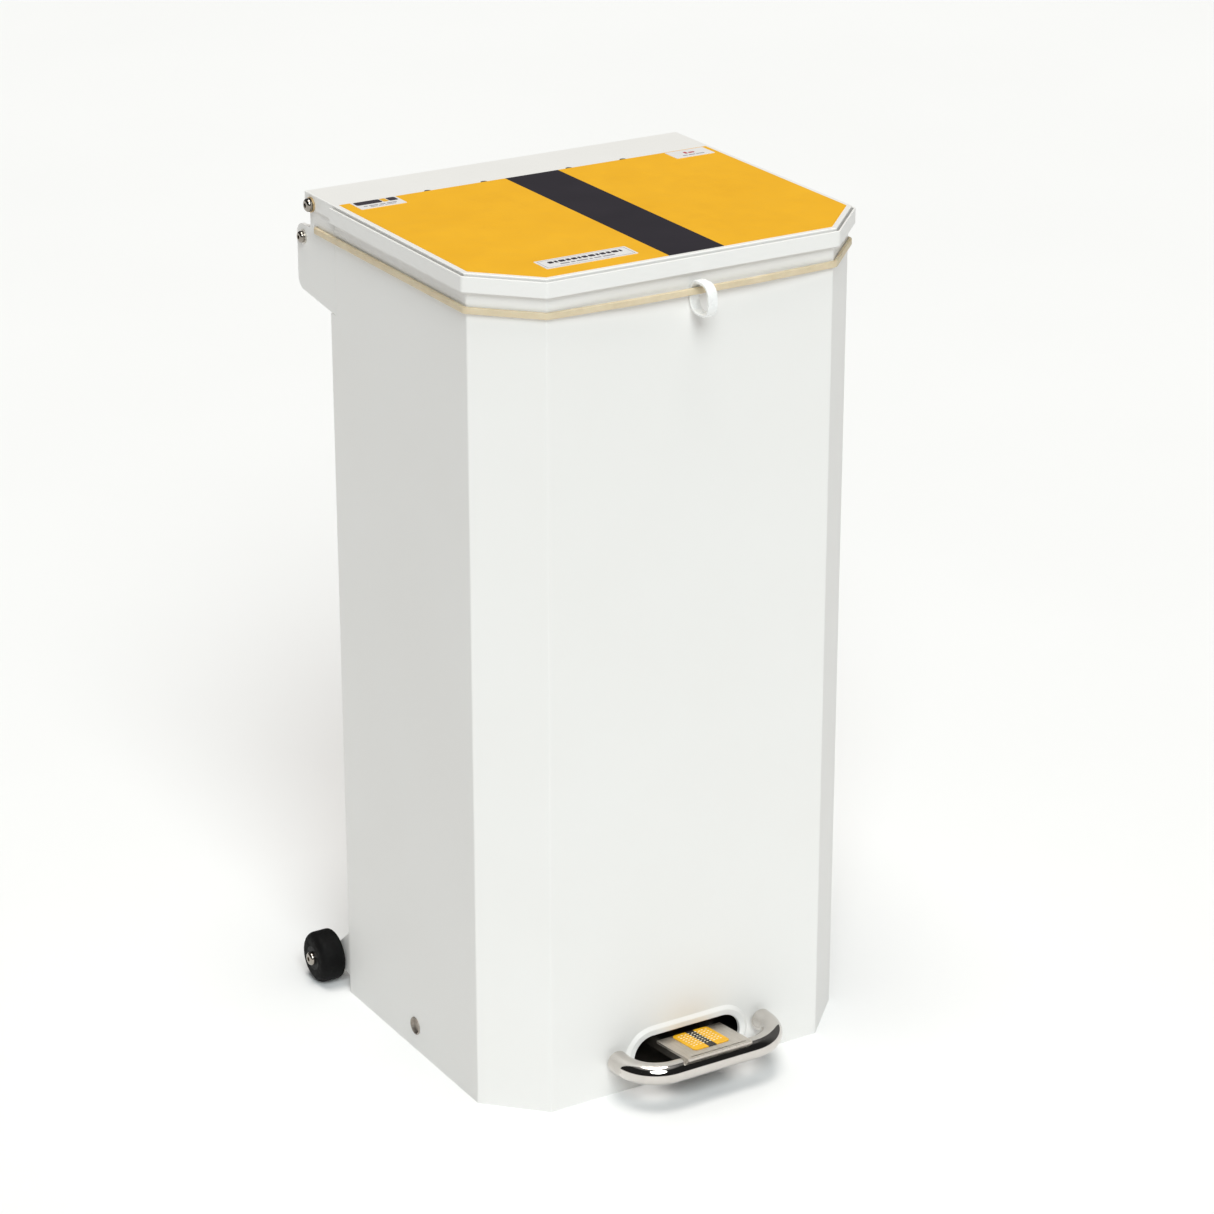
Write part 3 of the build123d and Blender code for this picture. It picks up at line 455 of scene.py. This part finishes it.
def add_dome(mesh, foot, half_x, half_y, rise):
    """Add a low oval dome that stands on foot."""
    around, up = 12, 4
    rings = []
    for level in range(up):
        angle = level / up * pi / 2
        rings.append([
            mesh.verts.new((
                foot.x + half_x * cos(angle) * cos(2 * pi * step / around),
                foot.y + half_y * cos(angle) * sin(2 * pi * step / around),
                foot.z + rise * sin(angle),
            ))
            for step in range(around)
        ])
    top = mesh.verts.new((foot.x, foot.y, foot.z + rise))
    for lower, upper in zip(rings, rings[1:]):
        for step in range(around):
            after = (step + 1) % around
            mesh.faces.new((lower[step], lower[after], upper[after], upper[step]))
    for step in range(around):
        mesh.faces.new((rings[-1][step], rings[-1][(step + 1) % around], top))
    mesh.faces.new(reversed(rings[0]))


def tread_studs():
    """Embossed studs on the pedal's tread film: rows of low oval domes."""
    low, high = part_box("pedal_pad_yellow")
    film = 0.6 * mm
    columns, rows = 9, 7
    pitch_x, pitch_y = 3.7 * mm, 4.4 * mm
    half_x, half_y, rise = 1.15 * mm, 0.7 * mm, 0.45 * mm
    row_shift, stagger = 0.4, 0.2  # in row pitches, towards the back
    mesh = bmesh.new()
    for column in range(columns):
        for row in range(rows):
            x = (column - (columns - 1) / 2) * pitch_x
            y = (row - (rows - 1) / 2 + row_shift + (column % 2) * stagger) * pitch_y
            add_dome(mesh, Vector((x, y, film / 2)), half_x, half_y, rise)
    mesh.transform(Matrix.Translation((low + high) / 2) @ Matrix.Rotation(-plate_rise, 4, "X"))
    # the studs' pale colour is partly wear and partly painted highlight
    piece = new_piece("pedal_pad_studs", mesh, inks["stud_wear_and_highlight"], "pedal")
    piece.data.shade_smooth()


tread_studs()


def tyre_seams(side_name):
    """Moulding lines round a tyre: fine raised rings on its tread."""
    low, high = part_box(f"{side_name}_wheel_tyre")
    middle = (low + high) / 2
    radius = (high.z - low.z) / 2
    inward = 1 if middle.x < 0 else -1
    around = 96
    half, rise, root = 0.35 * mm, 0.25 * mm, -0.2 * mm
    top_share = 0.4  # the ring's width at its top, as a share of its width at its root
    sink = 0.3 * mm  # how far the ring's zero height lies inside the tyre's largest radius
    seam_shifts = (-1.5 * mm, 3.5 * mm)  # from the tyre's middle towards the bin
    section = [(-half, root), (-half * top_share, rise), (half * top_share, rise), (half, root)]
    mesh = bmesh.new()
    for shift in seam_shifts:
        rings = []
        for step in range(around):
            angle = 2 * pi * step / around
            rings.append([
                mesh.verts.new((
                    middle.x + (shift + along) * inward,
                    middle.y + (radius - sink + out) * cos(angle),
                    middle.z + (radius - sink + out) * sin(angle),
                ))
                for along, out in section
            ])
        for step in range(around):
            here, after = rings[step], rings[(step + 1) % around]
            for corner in range(len(section)):
                beside = (corner + 1) % len(section)
                mesh.faces.new((here[corner], here[beside], after[beside], after[corner]))
    bmesh.ops.recalc_face_normals(mesh, faces=mesh.faces)
    new_piece(f"{side_name}_tyre_seams", mesh, materials["tyre_rubber"], f"{side_name}_wheel")


for side_name in ("left", "right"):
    tyre_seams(side_name)


# ---- studio: a pale floor, two wide suns (one at the front left, one overhead) and a white backdrop ----

floor_radius = 40
ambient = 0.02  # even light on surfaces that aren't polished
far_wall = 0.12  # what polished metal mirrors beyond the bin
wall_turn = (-0.1, 0.4)  # where the near wall becomes the far one: cosines from the camera's heading


def stage_floor():
    mesh = bmesh.new()
    bmesh.ops.create_circle(mesh, cap_ends=True, segments=96, radius=floor_radius)
    data = bpy.data.meshes.new("floor")
    mesh.to_mesh(data)
    mesh.free()
    surface = Surface("floor", (0.90, 0.90, 0.90), 0.8)
    surface.colors(surface.noise(0.8, detail=3), (0.3, (0.895, 0.895, 0.895)), (0.7, (0.91, 0.91, 0.91)))
    data.materials.append(surface.material)
    floor = bpy.data.objects.new("floor", data)
    scene.collection.objects.link(floor)


def soft_sun(name, azimuth, elevation, power, spread, color):
    """A very wide, even light, as from a large softbox, azimuth degrees to the left of the bin's front."""
    light = bpy.data.lights.new(name, "SUN")
    light.energy = power
    light.angle = radians(spread)
    light.color = color
    lamp = bpy.data.objects.new(name, light)
    scene.collection.objects.link(lamp)
    turn, rise = radians(azimuth), radians(elevation)
    towards = Vector((-sin(turn) * cos(rise), -cos(turn) * cos(rise), sin(rise)))
    lamp.rotation_euler = towards.to_track_quat("Z", "Y").to_euler()


def studio_room():
    """A white backdrop, a little even light, and for polished metal a room dark on the camera's side."""
    world = bpy.data.worlds.new("room")
    scene.world = world
    world.use_nodes = True
    tree = world.node_tree
    place = tree.nodes.new("ShaderNodeTexCoord").outputs["Generated"]
    path = tree.nodes.new("ShaderNodeLightPath")

    def blend(factor, low, high):
        """Run from low to high with factor: each is a shade of grey or a node's output."""
        node = tree.nodes.new("ShaderNodeMix")
        node.data_type = "RGBA"
        tree.links.new(factor, node.inputs["Factor"])
        for name, side in (("A", low), ("B", high)):
            if isinstance(side, float):
                node.inputs[name].default_value = (side, side, side, 1)
            else:
                tree.links.new(side, node.inputs[name])
        return node.outputs["Result"]

    # dark at eye level, paler low down and overhead
    split = tree.nodes.new("ShaderNodeSeparateXYZ")
    near_wall = tree.nodes.new("ShaderNodeValToRGB")
    shades = ((0.0, 0.6), (0.02, 0.4), (0.06, 0.02), (0.8, 0.02), (0.92, 0.4))
    fill_ramp(near_wall, [(position, (shade,) * 3) for position, shade in shades])
    tree.links.new(place, split.inputs["Vector"])
    tree.links.new(split.outputs["Z"], near_wall.inputs["Fac"])

    # from the camera's side to the far side
    away = tree.nodes.new("ShaderNodeVectorMath")
    away.operation = "DOT_PRODUCT"
    away.inputs[1].default_value = (sin(camera_heading), cos(camera_heading), 0)
    fade = tree.nodes.new("ShaderNodeMapRange")
    fill_range(fade, wall_turn, (0.0, 1.0))
    tree.links.new(place, away.inputs[0])
    tree.links.new(away.outputs["Value"], fade.inputs["Value"])

    mirrored = blend(fade.outputs["Result"], near_wall.outputs["Color"], far_wall)
    lighting = blend(path.outputs["Is Glossy Ray"], ambient, mirrored)
    seen = blend(path.outputs["Is Camera Ray"], lighting, 1.0)
    tree.links.new(seen, tree.nodes["Background"].inputs["Color"])


stage_floor()
soft_sun("front_light", 22, 43, 2.12, 32, (0.94, 1, 1.01))
soft_sun("top_light", 60, 88, 2.0, 32, (1, 0.965, 0.92))
studio_room()
scene.view_settings.view_transform = "Standard"
